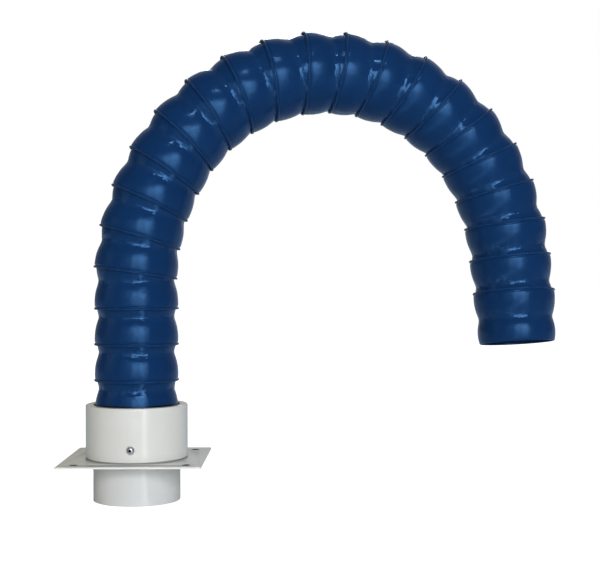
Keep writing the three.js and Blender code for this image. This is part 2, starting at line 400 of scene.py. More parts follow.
blueFinish = {
    "ior": 1.49,
    "glossTint": "#78bcff",
    "dustFilm": 0.2,
    "dustFilmRoughness": 0.4,
    "dustFilmTint": "#6f9fe8",
    "tones": ("#0f2e58", "#133765"),
    "cloudSize": 0.045,
    "cloudDetail": 3.0,
    "speckSize": 0.006,
    "speckDetail": 4.0,
    "speckRoughness": 0.65,
    "beadSpread": (-0.0056, -0.0066),  # heights from the socket's centre
    # the bead is lighter: partly wear, partly a painted highlight along the bead
    "scuffAndHighlightSpread": (0.45, 0.75, 0.0, 0.3),
    "scuffAndHighlightColour": "#2f5c97",
    "neckHeight": 0.0250,
    "dustSpread": (0.007, 0.001, 0.0, 0.06),  # off the neck
    "dustColour": "#4a6f9f",
    "grooveShadeSpread": (0.0007, 0.0002, 0.0, 0.2),  # off the groove behind the bead: painted shade in the groove
    "grooveShadePatches": (0.38, 0.58, 0.35, 1.0),
    "recessShadeColour": "#071222",
    # painted shade round the first segment at the collar's mouth
    "collarShadeHeight": 0.0066,
    "collarShadeSpread": (0.0015, 0.0007),
    "collarShadeColour": "#0b0c14",
    "roughness": (0.004, 0.012, 0.06, 0.18),  # off the neck, which the lips polish
    "speckRoughening": 0.08,
    "beadRoughening": 0.2,
    "scuffRoughening": 0.3,
    "gloss": (0.004, 0.012, 0.58, 0.385),
    "grainSize": 0.0022,
    "grainStrength": 0.12,
}


def bluePlastic():
    # polypropylene, injection moulded: deep blue with a soft gloss, a little cloudy, dull where lips rub
    look = blueFinish
    material, tree = newMaterial("mouldedPolypropyleneBlue")
    own = addNode(tree, "ShaderNodeAttribute", {"attribute_name": "ownPoint"}).outputs["Vector"]
    seed = addNode(tree, "ShaderNodeAttribute", {"attribute_name": "ownSeed"}).outputs["Fac"]
    height = addNode(tree, "ShaderNodeSeparateXYZ", None, {0: own}).outputs[2]
    cloud = addNode(tree, "ShaderNodeTexNoise", seeded,
                    {"Vector": own, "W": seed, "Scale": 1 / look["cloudSize"], "Detail": look["cloudDetail"]})
    dark, pale = look["tones"]
    body = addNode(tree, "ShaderNodeMix", colours, {0: cloud, 6: linear(dark), 7: linear(pale)})
    specks = addNode(tree, "ShaderNodeTexNoise", seeded,
                     {"Vector": own, "W": seed, "Scale": 1 / look["speckSize"], "Detail": look["speckDetail"],
                      "Roughness": look["speckRoughness"]})

    onBead = addNode(tree, "ShaderNodeMapRange", soft, {0: height, **spread(look["beadSpread"])})
    # lighter on the bead: partly scuffed wear, partly a painted highlight
    rubbed = addNode(tree, "ShaderNodeMapRange", None, {0: specks, **spread(look["scuffAndHighlightSpread"])})
    scuffAndHighlight = addNode(tree, "ShaderNodeMath", times, {0: onBead, 1: rubbed})
    wornAndHighlighted = addNode(tree, "ShaderNodeMix", colours, {0: scuffAndHighlight, 6: body, 7: linear(look["scuffAndHighlightColour"])})
    offNeck = distanceFrom(tree, height, look["neckHeight"])
    dusty = colourWithin(tree, wornAndHighlighted, offNeck, look["dustSpread"], look["dustColour"], specks)
    # painted shade in the groove behind each bead, in patches
    offGroove = distanceFrom(tree, height, grooveHeight(segment["grooveMiddle"]))
    patchy = addNode(tree, "ShaderNodeMapRange", None, {0: cloud, **spread(look["grooveShadePatches"])})
    recessShaded = colourWithin(tree, dusty, offGroove, look["grooveShadeSpread"], look["recessShadeColour"], patchy)
    halfway = segment["firstSeed"] + 0.5  # between the first segment's seed and the next
    first = addNode(tree, "ShaderNodeMath", below, {0: seed, 1: halfway})
    offCollarShade = distanceFrom(tree, height, look["collarShadeHeight"])  # painted shade where the first segment enters the collar's mouth
    marked = colourWithin(tree, recessShaded, offCollarShade, look["collarShadeSpread"], look["collarShadeColour"], first)

    handled = addNode(tree, "ShaderNodeMapRange", soft, {0: offNeck, **spread(look["roughness"])})
    specked = addNode(tree, "ShaderNodeMath", timesPlus, {0: specks, 1: look["speckRoughening"], 2: handled})
    softLip = addNode(tree, "ShaderNodeMath", timesPlus, {0: onBead, 1: look["beadRoughening"], 2: specked})
    dull = addNode(tree, "ShaderNodeMath", timesPlus, {0: scuffAndHighlight, 1: look["scuffRoughening"], 2: softLip})
    shine = addNode(tree, "ShaderNodeMapRange", soft, {0: offNeck, **spread(look["gloss"])})
    addSurface(tree, {
        "Base Color": marked, "Roughness": dull, "IOR": look["ior"], "Specular IOR Level": shine,
        "Specular Tint": linear(look["glossTint"]),  # the pigment colours the gloss
        "Sheen Weight": look["dustFilm"],  # a film of fine dust, seen at glancing angles
        "Sheen Roughness": look["dustFilmRoughness"], "Sheen Tint": linear(look["dustFilmTint"]),
        "Normal": fineGrain(tree, own, look)})
    return material


pvcFinish = {
    "ior": 1.53,
    "tones": ("#e3e3dc", "#eaeae4"),
    "cloudSize": 0.03,
    "cloudDetail": 3.0,
    "footDarkeningSpread": (0.012, 0.003, 0.0, 0.35),  # heights above the plate; darker towards the plate
    "footDarkeningColour": "#b9b8b0",
    # painted shade in the gap at the collar's mouth
    "mouthShadeReach": (0.0006, 0.0002),
    "recessShadeColour": "#1d1d1f",
    "roughness": (0.3, 0.7, 0.08, 0.12),
    "ringSpacing": 0.0012,  # coarser than real, to show
    "ringNoise": {"Distortion": 0.4, "Detail": 2.0},
    "ringStrength": 0.06,
}


def whitePlastic():
    # PVC, turned from thick pipe: warm white satin, with the faintest rings from the lathe
    look = pvcFinish
    material, tree = newMaterial("turnedPvcWhite")
    place = addNode(tree, "ShaderNodeTexCoord").outputs["Object"]
    cloud, body = cloudyBody(tree, place, look)
    height = addNode(tree, "ShaderNodeSeparateXYZ", None, {0: place}).outputs[2]
    # darker towards the plate
    used = colourWithin(tree, body, height, look["footDarkeningSpread"], look["footDarkeningColour"], cloud)
    mouth = [base["collarMouth"] + reach for reach in look["mouthShadeReach"]]  # painted shade in the gap at the collar's mouth
    recessShaded = colourWithin(tree, used, offAxis(tree, place), mouth, look["recessShadeColour"])
    gloss = addNode(tree, "ShaderNodeMapRange", None, {0: cloud, **spread(look["roughness"])})
    wave = addNode(tree, "ShaderNodeTexWave", {"bands_direction": "Z"},
                   {"Vector": place, "Scale": wavePitch / look["ringSpacing"], **look["ringNoise"]})
    rings = wave.outputs["Fac"]
    bump = addNode(tree, "ShaderNodeBump", None,
                   {"Strength": look["ringStrength"], "Distance": bumpDistance, "Height": rings})
    addSurface(tree, {"Base Color": recessShaded, "Roughness": gloss, "IOR": look["ior"], "Normal": bump})
    return material


coatFinish = {
    "ior": 1.5,
    "tones": ("#dedfdc", "#e6e7e5"),
    "cloudSize": 0.04,
    "cloudDetail": 4.0,
    # painted highlight along the sheet's edge
    "edgeHighlightReach": (0.0006, 0.0002),
    "edgeHighlightColour": "#fbfbf9",
    # holes darkened: partly bare steel, partly painted shade
    "bareAndShadedReach": (0.0003, 0.0001),
    "bareAndShadedColour": "#1e1d1b",
    "roughness": (0.3, 0.7, 0.11, 0.14),
    "grainSize": 0.0018,
    "grainStrength": 0.06,
}


def powderCoat():
    # sheet steel, powder coated: even white with a fine orange peel; the drilled holes are darkened, partly as
    # bare steel and partly as painted shade
    look = coatFinish
    material, tree = newMaterial("powderCoatedSteelWhite")
    place = addNode(tree, "ShaderNodeTexCoord").outputs["Object"]
    cloud, body = cloudyBody(tree, place, look)
    quarter = addNode(tree, "ShaderNodeVectorMath", unsigned, {0: place})
    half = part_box("mounting_plate")[1].x
    sides = addNode(tree, "ShaderNodeSeparateXYZ", None, {0: quarter}).outputs
    outmost = addNode(tree, "ShaderNodeMath", larger, {0: sides[0], 1: sides[1]})
    rim = [half - reach for reach in look["edgeHighlightReach"]]  # painted highlight along the sheet's edge
    edgeHighlighted = colourWithin(tree, body, outmost, rim, look["edgeHighlightColour"])
    corner = half - plate["holeInset"]
    offHole = addNode(tree, "ShaderNodeVectorMath", {"operation": "DISTANCE"},
                      {0: quarter, 1: (corner, corner, plate["thickness"] / 2)})
    # drilled holes darkened: partly bare steel, partly painted shade
    hole = [plate["holeDiameter"] / 2 + reach for reach in look["bareAndShadedReach"]]
    drilled = colourWithin(tree, edgeHighlighted, offHole, hole, look["bareAndShadedColour"])
    gloss = addNode(tree, "ShaderNodeMapRange", None, {0: cloud, **spread(look["roughness"])})
    addSurface(tree, {"Base Color": drilled, "Roughness": gloss, "IOR": look["ior"],
                      "Normal": fineGrain(tree, place, look)})
    return material


absFinish = {  # ABS, injection moulded: black satin with a fine spark grain
    "name": "mouldedAbsBlack",
    "ior": 1.53,
    "roughness": 0.48,
    "tones": ("#17181a", "#222326"),
    "cloudSize": 0.02,
    "cloudDetail": 3.0,
    "grainSize": 0.0006,  # coarser than real, to show
    "grainStrength": 0.2,
}

rubberFinish = {  # silicone sheet, cut: matt grey with a chalky bloom
    "name": "cutRubberGrey",
    "ior": 1.42,
    "roughness": 0.8,
    "tones": ("#85857f", "#9b9b95"),
    "cloudSize": 0.008,
    "cloudDetail": 5.0,
    "grainSize": 0.0005,
    "grainStrength": 0.3,
}


def evenFinish(look):
    material, tree = newMaterial(look["name"])
    place = addNode(tree, "ShaderNodeTexCoord").outputs["Object"]
    addSurface(tree, {"Base Color": cloudyBody(tree, place, look)[1], "Roughness": look["roughness"],
                      "IOR": look["ior"], "Normal": fineGrain(tree, place, look)})
    return material


steelFinish = {
    "tones": ("#d4d6d8", "#e4e5e6"),
    "ringSpacing": 0.0004,
    "ringNoise": {"Distortion": 0.3, "Detail": 2.0},
    "ringStrength": 0.15,
    "socketShadeSpread": (0.0019, 0.0017),  # painted shade in the socket; distances from the screw's axis
    "socketShadeColour": "#17171a",
    "roughness": (0.0, 1.0, 0.34, 0.44),
}


def brightSteel():
    # stainless steel, cold headed and turned: bright, with fine rings round the head and painted shade in the
    # socket
    look = steelFinish
    material, tree = newMaterial("turnedStainlessSteel")
    own = addNode(tree, "ShaderNodeAttribute", {"attribute_name": "ownPoint"}).outputs["Vector"]
    wave = addNode(tree, "ShaderNodeTexWave", {"wave_type": "RINGS", "rings_direction": "Z"},
                   {"Vector": own, "Scale": wavePitch / look["ringSpacing"], **look["ringNoise"]})
    rings = wave.outputs["Fac"]
    dark, pale = look["tones"]
    body = addNode(tree, "ShaderNodeMix", colours, {0: rings, 6: linear(dark), 7: linear(pale)})
    # painted shade in the hexagon socket
    used = colourWithin(tree, body, offAxis(tree, own), look["socketShadeSpread"], look["socketShadeColour"])
    gloss = addNode(tree, "ShaderNodeMapRange", None, {0: rings, **spread(look["roughness"])})
    bump = addNode(tree, "ShaderNodeBump", None,
                   {"Strength": look["ringStrength"], "Distance": bumpDistance, "Height": rings})
    addSurface(tree, {"Base Color": used, "Roughness": gloss, "Metallic": 1.0, "Normal": bump})
    return material


blue = bluePlastic()
pvc = whitePlastic()
coat = powderCoat()
black = evenFinish(absFinish)
rubber = evenFinish(rubberFinish)
steel = brightSteel()
print("materials made")


# mounting plate: a square of sheet steel with broken edges

def platePiece():
    low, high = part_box("mounting_plate")
    half = high.x
    inset = half - plate["cornerRadius"]
    sheet = bpy.data.curves.new("mountingPlate", "CURVE")
    sheet.dimensions = "2D"
    sheet.fill_mode = "BOTH"
    sheet.extrude = plate["thickness"] / 2 - plate["edgeRound"]
    sheet.bevel_depth = plate["edgeRound"]
    sheet.bevel_resolution = plate["edgeSteps"]
    sheet.offset = -plate["edgeRound"]
    rim = []
    for turn in range(4):
        centre = Matrix.Rotation(turn * math.pi / 2, 2) @ Vector((inset, inset))
        rim += arcPoints(centre, plate["cornerRadius"], 90 * turn, 90 * turn + 90, plate["cornerSteps"])
    loops = [rim, arcPoints((0, 0), plate["spigotHole"] / 2, 0, -360, plate["spigotSides"])[:-1]]
    place = half - plate["holeInset"]
    for x, y in ((1, 1), (-1, 1), (-1, -1), (1, -1)):
        centre = (x * place, y * place)
        loops.append(arcPoints(centre, plate["holeDiameter"] / 2, 0, -360, plate["holeSides"])[:-1])
    for loop in loops:
        spline = sheet.splines.new("POLY")
        spline.use_cyclic_u = True
        spline.points.add(len(loop) - 1)
        for point, at in zip(spline.points, loop):
            point.co = (at.x, at.y, 0, 1)
    drawn = link(bpy.data.objects.new("mountingPlateDrawn", sheet))
    mesh = plainMesh(drawn)
    bpy.data.objects.remove(drawn)
    mesh.transform(Matrix.Translation((0, 0, (low.z + high.z) / 2)))
    shaped = bmesh.new()
    shaped.from_mesh(mesh)
    bmesh.ops.remove_doubles(shaped, verts=shaped.verts, dist=mergeDistance)
    bmesh.ops.recalc_face_normals(shaped, faces=shaped.faces)
    shaped.to_mesh(mesh)
    shaped.free()
    smoothMesh(mesh, plate["sharpAngle"])
    mesh.materials.clear()
    mesh.materials.append(coat)
    return addPiece("mountingPlate", mesh, "base", ["mounting_plate"])


platePiece()


# the turned pieces of the base

def ringOutline(inside, outside, foot, top, footRound, topRound):
    return roundedOutline([(inside, foot, footRound), (outside, foot, footRound),
                           (outside, top, topRound), (inside, top, topRound)])


def spigotPiece():
    low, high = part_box("duct_spigot")
    inside = high.x - base["spigotWall"]
    ring = ringOutline(inside, high.x, low.z, high.z, base["spigotRound"], base["edgeRound"])
    mesh = turnMesh("ductSpigot", ring, coat, base["sides"])
    return addPiece("ductSpigot", mesh, "base", ["duct_spigot"])


def washerPiece(name, node):  # pressed rubber swells to fill its gap
    swell, rounding = base["washerSwell"], base["washerRound"]
    low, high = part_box(node)
    inside = min(v.co.xy.length for v in frame["nodes"][node].data.vertices)
    ring = ringOutline(inside, high.x + swell, low.z - swell, high.z + swell, rounding, rounding)
    mesh = turnMesh(name, ring, rubber, base["sides"])
    return addPiece(name, mesh, "base", [node])


spigotPiece()
washerPiece("collarGasket", "collar_gasket")
washerPiece("ductSeal", "duct_seal")


# collar screws: one button head with a hexagon socket, set round the collar by nodes

screw = {
    "count": 3,
    "firstAngle": -90,
    "headDiameter": 0.0095,
    "headHeight": 0.00275,
    "headEdge": 0.0001,
    "edgeRound": 0.00025,
    "flatDiameter": 0.0038,
    "flatEdge": 0.0001,
    "shankDiameter": 0.005,
    "tipGap": 0.0003,
    "tipChamfer": 0.0003,
    "socketAcrossFlats": 0.003,
    "socketDepth": 0.0016,
    "socketEdge": 0.0002,
    "pointDepth": 0.0004,
    "pointShare": 0.3,
    "seatDiameter": 0.0108,
    "seatGap": 0.00015,
    "holeDiameter": 0.0056,
    "holeReach": 0.012,
    "cutLength": 0.02,
    "sides": 48,
    "domeSteps": 8,
    "domeTrim": 2,
}


def screwSeat():  # the seat's distance from the arm's axis, and its height
    low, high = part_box("collar_screw_1")
    return -(low.y + screw["headHeight"]), (low.z + high.z) / 2


def screwMesh():
    sides = screw["sides"]
    head, flat, shank = screw["headDiameter"] / 2, screw["flatDiameter"] / 2, screw["shankDiameter"] / 2
    dome = (head ** 2 + screw["headHeight"] ** 2) / (2 * screw["headHeight"])
    centre = (0, screw["headHeight"] - dome)
    low = math.degrees(math.asin(-centre[1] / dome))
    high = math.degrees(math.acos(flat / dome))
    top = centre[1] + math.sqrt(dome ** 2 - flat ** 2)
    across, edge = screw["socketAcrossFlats"] / 2, screw["socketEdge"]
    bottom = top - screw["socketDepth"]
    length = screwSeat()[0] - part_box("duct_spigot")[1].x - screw["tipGap"]
    tip = screw["tipChamfer"]

    def hexagon(size, height):
        loop = []
        for i in range(sides):
            angle = fullTurn * i / sides
            fromFlat = (angle + math.pi / 6) % (math.pi / 3) - math.pi / 6
            loop.append((size / math.cos(fromFlat), angle, height))
        return loop

    def circle(radius, height):
        return [(radius, fullTurn * i / sides, height) for i in range(sides)]

    loops = [hexagon(across * screw["pointShare"], bottom - screw["pointDepth"]), hexagon(across, bottom)]
    loops += [hexagon(across, top - edge), hexagon(across + edge, top), circle(flat - screw["flatEdge"], top)]
    domePoints = arcPoints(centre, dome, low + screw["domeTrim"], high, screw["domeSteps"])
    loops += [circle(p.x, p.y) for p in reversed(domePoints)]
    loops += [circle(head, screw["headEdge"]), circle(head - screw["edgeRound"], 0.0)]
    loops += [circle(shank, 0.0), circle(shank, tip - length), circle(shank - tip, -length)]
    built = bmesh.new()
    rings = [[built.verts.new((r * math.cos(a), r * math.sin(a), z)) for r, a, z in loop] for loop in loops]
    for upper, lower in zip(rings, rings[1:]):
        for i in range(sides):
            j = (i + 1) % sides
            built.faces.new((upper[i], lower[i], lower[j], upper[j]))
    built.faces.new(rings[0])
    built.faces.new(reversed(rings[-1]))
    bmesh.ops.recalc_face_normals(built, faces=built.faces)
    mesh = bpy.data.meshes.new("collarScrew")
    built.to_mesh(mesh)
    built.free()
    return smoothMesh(mesh)


def screwRingTree():
    tree, given = newTree("screwRing", (
        ("Screw", "Object"), ("Count", "Int"), ("Ring Radius", "Float"), ("Height", "Float"),
        ("First Angle", "Float"), ("Finish", "Material")))
    shape = addNode(tree, "GeometryNodeObjectInfo", None, {"Object": given["Screw"]}).outputs["Geometry"]
    own = addNode(tree, "GeometryNodeInputPosition")
    marked = addNode(tree, "GeometryNodeStoreNamedAttribute", vectors,
                     {"Geometry": shape, "Name": "ownPoint", "Value": own})
    points = addNode(tree, "GeometryNodePoints", None, {"Count": given["Count"]})
    index = addNode(tree, "GeometryNodeInputIndex")
    share = addNode(tree, "ShaderNodeMath", over, {0: index, 1: given["Count"]})
    turn = addNode(tree, "ShaderNodeMath", timesPlus, {0: share, 1: fullTurn, 2: given["First Angle"]})
    start = addNode(tree, "ShaderNodeCombineXYZ", None, {"X": given["Ring Radius"], "Z": given["Height"]})
    place = addNode(tree, "ShaderNodeVectorRotate", aroundZ, {"Vector": start, "Angle": turn})
    placed = addNode(tree, "GeometryNodeSetPosition", None, {"Geometry": points, "Position": place})
    facing = addNode(tree, "ShaderNodeCombineXYZ", None, {"Y": math.pi / 2, "Z": turn})
    rotation = addNode(tree, "FunctionNodeEulerToRotation", None, {0: facing})
    screws = addNode(tree, "GeometryNodeInstanceOnPoints", None,
                     {"Points": placed, "Instance": marked, "Rotation": rotation})
    return endTree(tree, screws, given["Finish"])


def screwPieces():
    seat, height = screwSeat()
    one = link(bpy.data.objects.new("oneScrew", screwMesh()))
    mesh = runTree("collarScrews", screwRingTree(), {
        "Screw": one, "Count": screw["count"], "Ring Radius": seat, "Height": height,
        "First Angle": math.radians(screw["firstAngle"]), "Finish": steel})
    bpy.data.objects.remove(one)
    nodes = [f"collar_screw_{i + 1}" for i in range(screw["count"])]
    return addPiece("collarScrews", mesh, "base", nodes)


def drillSeats(mesh):  # cuts the screws' seats and holes into a turned mesh
    seat, height = screwSeat()
    body = link(bpy.data.objects.new("drilled", mesh))
    reach = screw["cutLength"]
    hole = (screw["holeDiameter"] / 2, seat - screw["holeReach"])
    recess = (screw["seatDiameter"] / 2, seat - screw["seatGap"])
    cutters = []
    for i in range(screw["count"]):
        angle = math.radians(screw["firstAngle"] + 360 * i / screw["count"])
        for radius, start in (hole, recess):
            tool = bmesh.new()
            bmesh.ops.create_cone(tool, cap_ends=True, segments=screw["sides"],
                                  radius1=radius, radius2=radius, depth=reach)
            shape = bpy.data.meshes.new("cutter")
            tool.to_mesh(shape)
            tool.free()
            turn = Matrix.Rotation(angle, 4, "Z") @ Matrix.Translation((start + reach / 2, 0, height))
            shape.transform(turn @ Matrix.Rotation(math.pi / 2, 4, "Y"))
            cutter = link(bpy.data.objects.new("cutter", shape))
            cut = body.modifiers.new("seat", "BOOLEAN")
            cut.object = cutter
            cut.solver = "EXACT"
            cutters.append(cutter)
    made = plainMesh(body)
    for obj in [body, *cutters]:
        bpy.data.objects.remove(obj)
    return smoothMesh(made)


def collarPiece():
    low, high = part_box("collar")
    ledge = base["webTop"] + base["ledgeGap"]
    wall = roundedOutline([
        (base["collarBore"], low.z, base["edgeRound"]),
        (high.x, low.z, base["collarFootRound"]),
        (high.x, high.z, base["collarRim"]),
        (base["collarMouth"], high.z, base["collarMouthRound"]),
        (base["collarMouth"], ledge, base["edgeRound"]),
        (base["collarBore"], ledge, base["edgeRound"]),
    ], base["collarSteps"])
    mesh = drillSeats(turnMesh("collar", wall, pvc, base["sides"]))
    return addPiece("ductCollar", mesh, "base", ["collar"])


collarPiece()
screwPieces()


# arm segments: beaded lip, bulged shell, neck and ball, all one wall

joints = frame["joints"]
centres = [Vector(joint["pos_m"]) for joint in joints]
pitch = (centres[1] - centres[0]).length


def valleyCentre(shell, ball):  # centre of the rounding that touches the shell's cone and the next ball
    slope = math.radians(segment["coneAngle"])
    outward = Vector((math.cos(slope), math.sin(slope)))
    along = Vector((-math.sin(slope), math.cos(slope)))
    bulge, rounding = segment["bulgeRadius"], segment["valleyRound"]
    start = Vector((shell - bulge, -pitch)) + outward * (bulge + rounding)
    half = start.dot(along)
    apart = start.length_squared - (ball + rounding) ** 2
    return start + along * (-half - math.sqrt(half ** 2 - apart)) + Vector((0, pitch))


def segmentOutline():  # the wall's points, and how freely each may dent
    steps, freedom = segment["steps"], segment["freedom"]
    ball, wall, reach = segment["ballRadius"], segment["wall"], segment["rimReach"]
    inside = ball - wall
    socket = ball + segment["ballClearance"]
    shell = socket + wall
    lip = -segment["lipDepth"]
    beadRound = segment["beadWidth"] / 2
    beadCentre = (shell + segment["beadHeight"] - beadRound, lip + beadRound)
    bulge = segment["bulgeRadius"]
    bulgeCentre = (shell - bulge, 0)
    shellStart = math.degrees(math.asin(grooveHeight(1) / bulge))
    grooveMid = grooveHeight(segment["grooveMiddle"])
    grooveWall = bulgeCentre[0] + math.sqrt(bulge ** 2 - grooveMid ** 2)
    groove = [Vector((grooveWall - segment["grooveDepth"], grooveMid))]
    cone, rounding = segment["coneAngle"], segment["valleyRound"]
    valley = valleyCentre(shell, ball)
    coneStart = arcPoints(bulgeCentre, bulge, cone, cone, 1)[0]
    coneEnd = arcPoints(valley, rounding, 180 + cone, 180, 1)[0]
    conePoints = [coneStart.lerp(coneEnd, step / steps["cone"]) for step in range(1, steps["cone"])]
    ballStart = math.degrees(math.atan2(valley.y - pitch, valley.x))
    rim = math.degrees(math.asin(reach / ball))
    rimEnd = rim - segment["rimTrim"]
    innerRim = math.degrees(math.asin(reach / inside)) - segment["rimTrim"]
    rimRound = wall * segment["rimRound"]
    rimCentre = ((ball - wall / 2) * math.cos(math.radians(rim)), pitch + reach - rimRound)
    bore = valley.x - rounding - wall
    boreInBall = math.degrees(math.acos(bore / inside))
    boreInSocket = math.degrees(math.acos(bore / socket))
    mouth = socket + segment["lipFlare"]
    chamfer, edge = segment["lipEdge"]
    runs = [
        (arcPoints(beadCentre, beadRound, *segment["beadArc"], steps["bead"]), freedom["bead"]),
        (groove, freedom["groove"]),
        (arcPoints(bulgeCentre, bulge, shellStart, cone, steps["shell"]), freedom["shell"]),
        (conePoints, freedom["cone"]),
        (arcPoints(valley, rounding, 180 + cone, 180 + ballStart, steps["valley"]), freedom["valley"]),
        (arcPoints((0, pitch), ball, ballStart, rimEnd, steps["ball"])[1:], freedom["ball"]),
        (arcPoints(rimCentre, rimRound, *segment["rimArc"], steps["rim"]), 0.0),
        (arcPoints((0, pitch), inside, innerRim, -boreInBall, steps["inside"]), 0.0),
        (arcPoints((0, 0), socket, boreInSocket, 0, steps["inside"]), 0.0),
        ([Vector((mouth, lip + edge)), Vector((mouth + chamfer, lip))], 0.0),
    ]
    outline = [p for run, _ in runs for p in run]
    weights = [w for run, w in runs for _ in run]
    return outline, weights


def segmentPlace(i):  # from the joints: where the socket's centre is and how the segment stands
    mouth = next(m for m in frame["record"]["mounts"] if m["name"] == "mouth_rim")
    last = i + 1 == len(centres)
    up = (Vector(mouth["axis"]) if last else centres[i + 1] - centres[i]).normalized()
    side = Vector(joints[max(i, 1)]["axis"]).normalized()
    front = side.cross(up).normalized()
    turn = Matrix((front, up.cross(front), up)).transposed()
    return Matrix.Translation(centres[i]) @ turn.to_4x4()


def armPieces():
    outline, weights = segmentOutline()
    for i in range(len(joints)):
        number = f"{i + 1:02d}"
        mesh = turnMesh("armSegment" + number, outline, blue, segment["sides"], weights, segment["dents"],
                        segment["firstSeed"] + i)
        mesh.transform(segmentPlace(i))
        addPiece("armSegment" + number, mesh, "segment_" + number, ["arm_segment_" + number])


def adapterPiece():  # a sleeve over the spigot, with the ball that carries the first segment
    ball = segment["ballRadius"] - segment["swivelClearance"]
    neck, wall, web = base["adapterNeck"], segment["wall"], base["webTop"]
    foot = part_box("ball_adapter")[0].z
    centre = (0, centres[0].z)
    rim = math.degrees(math.asin(segment["rimReach"] / ball))
    neckAngle = math.degrees(math.acos(neck / ball))
    boreAngle = math.degrees(math.acos((neck - wall) / (ball - wall)))
    under = web - base["webThickness"]
    outerSteps, innerSteps = base["adapterSteps"]
    wallPoints = [Vector(p) for p in (
        (base["sleeveInside"], foot), (base["sleeveOutside"], foot), (base["sleeveOutside"], web),
        (base["shoulder"], web), (neck, web + base["adapterNeckRise"]))]
    wallPoints += arcPoints(centre, ball, -neckAngle, rim, outerSteps)
    wallPoints += arcPoints(centre, ball - wall, rim, -boreAngle, innerSteps)
    wallPoints += [Vector((neck - wall, under)), Vector((base["sleeveInside"], under))]
    mesh = smoothMesh(turnMesh("ballAdapter", wallPoints, black, base["sides"]))
    return addPiece("ballAdapter", mesh, "base", ["ball_adapter"])


adapterPiece()
armPieces()


# floor, room, light and camera

floor = {
    "size": 30.0,
    "gap": 0.0003,
    "colour": "#e6e6e4",
    "mirroredColour": "#a9b6bf",  # reflections see it darker, as a bench top
    "glow": 0.90,
    "ior": 1.45,
    "roughness": 0.06,
    "polish": 0.55,
    "shineSpread": (0.05, 0.35, 0.0, 0.32),  # depths
    "shineColour": "#b8d4ee",
    "laneSlant": -0.43,  # across for each metre of depth
    "laneSpread": (0.16, 0.03, 0.0, 2.0),
    "laneStart": -0.05,
    "laneColour": "#f4f6f8",
}


def cameraSees(tree, path):  # 1 for what the camera sees straight or through something clear
    return addNode(tree, "ShaderNodeMath", larger, {0: path["Is Camera Ray"], 1: path["Is Transmission Ray"]})


def paleFloor():
    # the glow lifts the lit floor to white for the camera alone, so that the shadow still shows
    material, tree = newMaterial("paleFloor")
    path = addNode(tree, "ShaderNodeLightPath").outputs
    mirror = path["Is Glossy Ray"]
    tone = addNode(tree, "ShaderNodeMix", colours,
                   {0: mirror, 6: linear(floor["colour"]), 7: linear(floor["mirroredColour"])})
    matt = addNode(tree, "ShaderNodeBsdfDiffuse", None, {"Color": tone})
    polish = addNode(tree, "ShaderNodeBsdfGlossy", None, {"Roughness": floor["roughness"]})
    glancing = addNode(tree, "ShaderNodeFresnel", None, {"IOR": floor["ior"]})
    polished = addNode(tree, "ShaderNodeMath", times, {0: glancing, 1: floor["polish"]})
    share = addNode(tree, "ShaderNodeMath", {**times, "use_clamp": True}, {0: polished, 1: mirror})
    top = addNode(tree, "ShaderNodeMixShader", None, {0: share, 1: matt, 2: polish})
    lift = addNode(tree, "ShaderNodeMath", times, {0: cameraSees(tree, path), 1: floor["glow"]})
    glow = addNode(tree, "ShaderNodeEmission", None, {"Strength": lift})

    place = addNode(tree, "ShaderNodeTexCoord").outputs["Object"]
    across, depth = addNode(tree, "ShaderNodeSeparateXYZ", None, {0: place}).outputs[:2]
    near = addNode(tree, "ShaderNodeMapRange", None,  # a painted cool glow behind the arm, seen only in reflections
                   {0: depth, **spread(floor["shineSpread"])})
    mirrored = addNode(tree, "ShaderNodeMath", times, {0: near, 1: mirror})
    shine = addNode(tree, "ShaderNodeEmission", None,
                    {"Color": linear(floor["shineColour"]), "Strength": mirrored})
    slant = addNode(tree, "ShaderNodeMath", over, {0: across, 1: depth})
    lane = addNode(tree, "ShaderNodeMapRange", soft,  # a painted glow, a lane of window light on the bench top, seen only in reflections
                   {0: distanceFrom(tree, slant, floor["laneSlant"]), **spread(floor["laneSpread"])})
    ahead = addNode(tree, "ShaderNodeMath", below, {0: depth, 1: floor["laneStart"]})
    laneAhead = addNode(tree, "ShaderNodeMath", times, {0: lane, 1: ahead})
    laneSeen = addNode(tree, "ShaderNodeMath", times, {0: laneAhead, 1: mirror})
    streak = addNode(tree, "ShaderNodeEmission", None,
                     {"Color": linear(floor["laneColour"]), "Strength": laneSeen})
    shown = addNode(tree, "ShaderNodeAddShader", None, {0: shine, 1: streak})
    lit = addNode(tree, "ShaderNodeAddShader", None, {0: glow, 1: shown})
    both = addNode(tree, "ShaderNodeAddShader", None, {0: top, 1: lit})
    addNode(tree, "ShaderNodeOutputMaterial", None, {"Surface": both})

    half, level = floor["size"] / 2, cadBox[0].z - floor["gap"]
    corners = [(x * half, y * half, level) for x, y in ((-1, -1), (1, -1), (1, 1), (-1, 1))]
    mesh = bpy.data.meshes.new("floor")
    mesh.from_pydata(corners, [], [(0, 1, 2, 3)])
    mesh.materials.append(material)
    link(bpy.data.objects.new("floor", mesh))


room = {  # spreads over the direction: across to the right, depth to the back, rise
    "levelAcross": (-0.9, 0.5, 0.04, 0.19),  # darker and warmer on the left
    "toneAcross": (-0.9, 0.3),
    "tones": ("#ffe9c6", "#fbfdff"),
    "backLight": (0.45, 0.95, 0.0, 0.80),
    "frontLight": (-0.5, -0.95, 0.0, 0.08),
    "backdrop": (0.3, 0.85, 0.05, 0.60),
    "backdropTop": (0.25, 0.6, 1.0, 1.6),
    "coolAcross": (-0.2, -0.05),
    "sideTones": ("#8f9699", "#b6bec8"),
    "backdropTones": ("#cacab8", "#e0e2e6"),
    "backdropDepth": (0.86, 0.97),
}


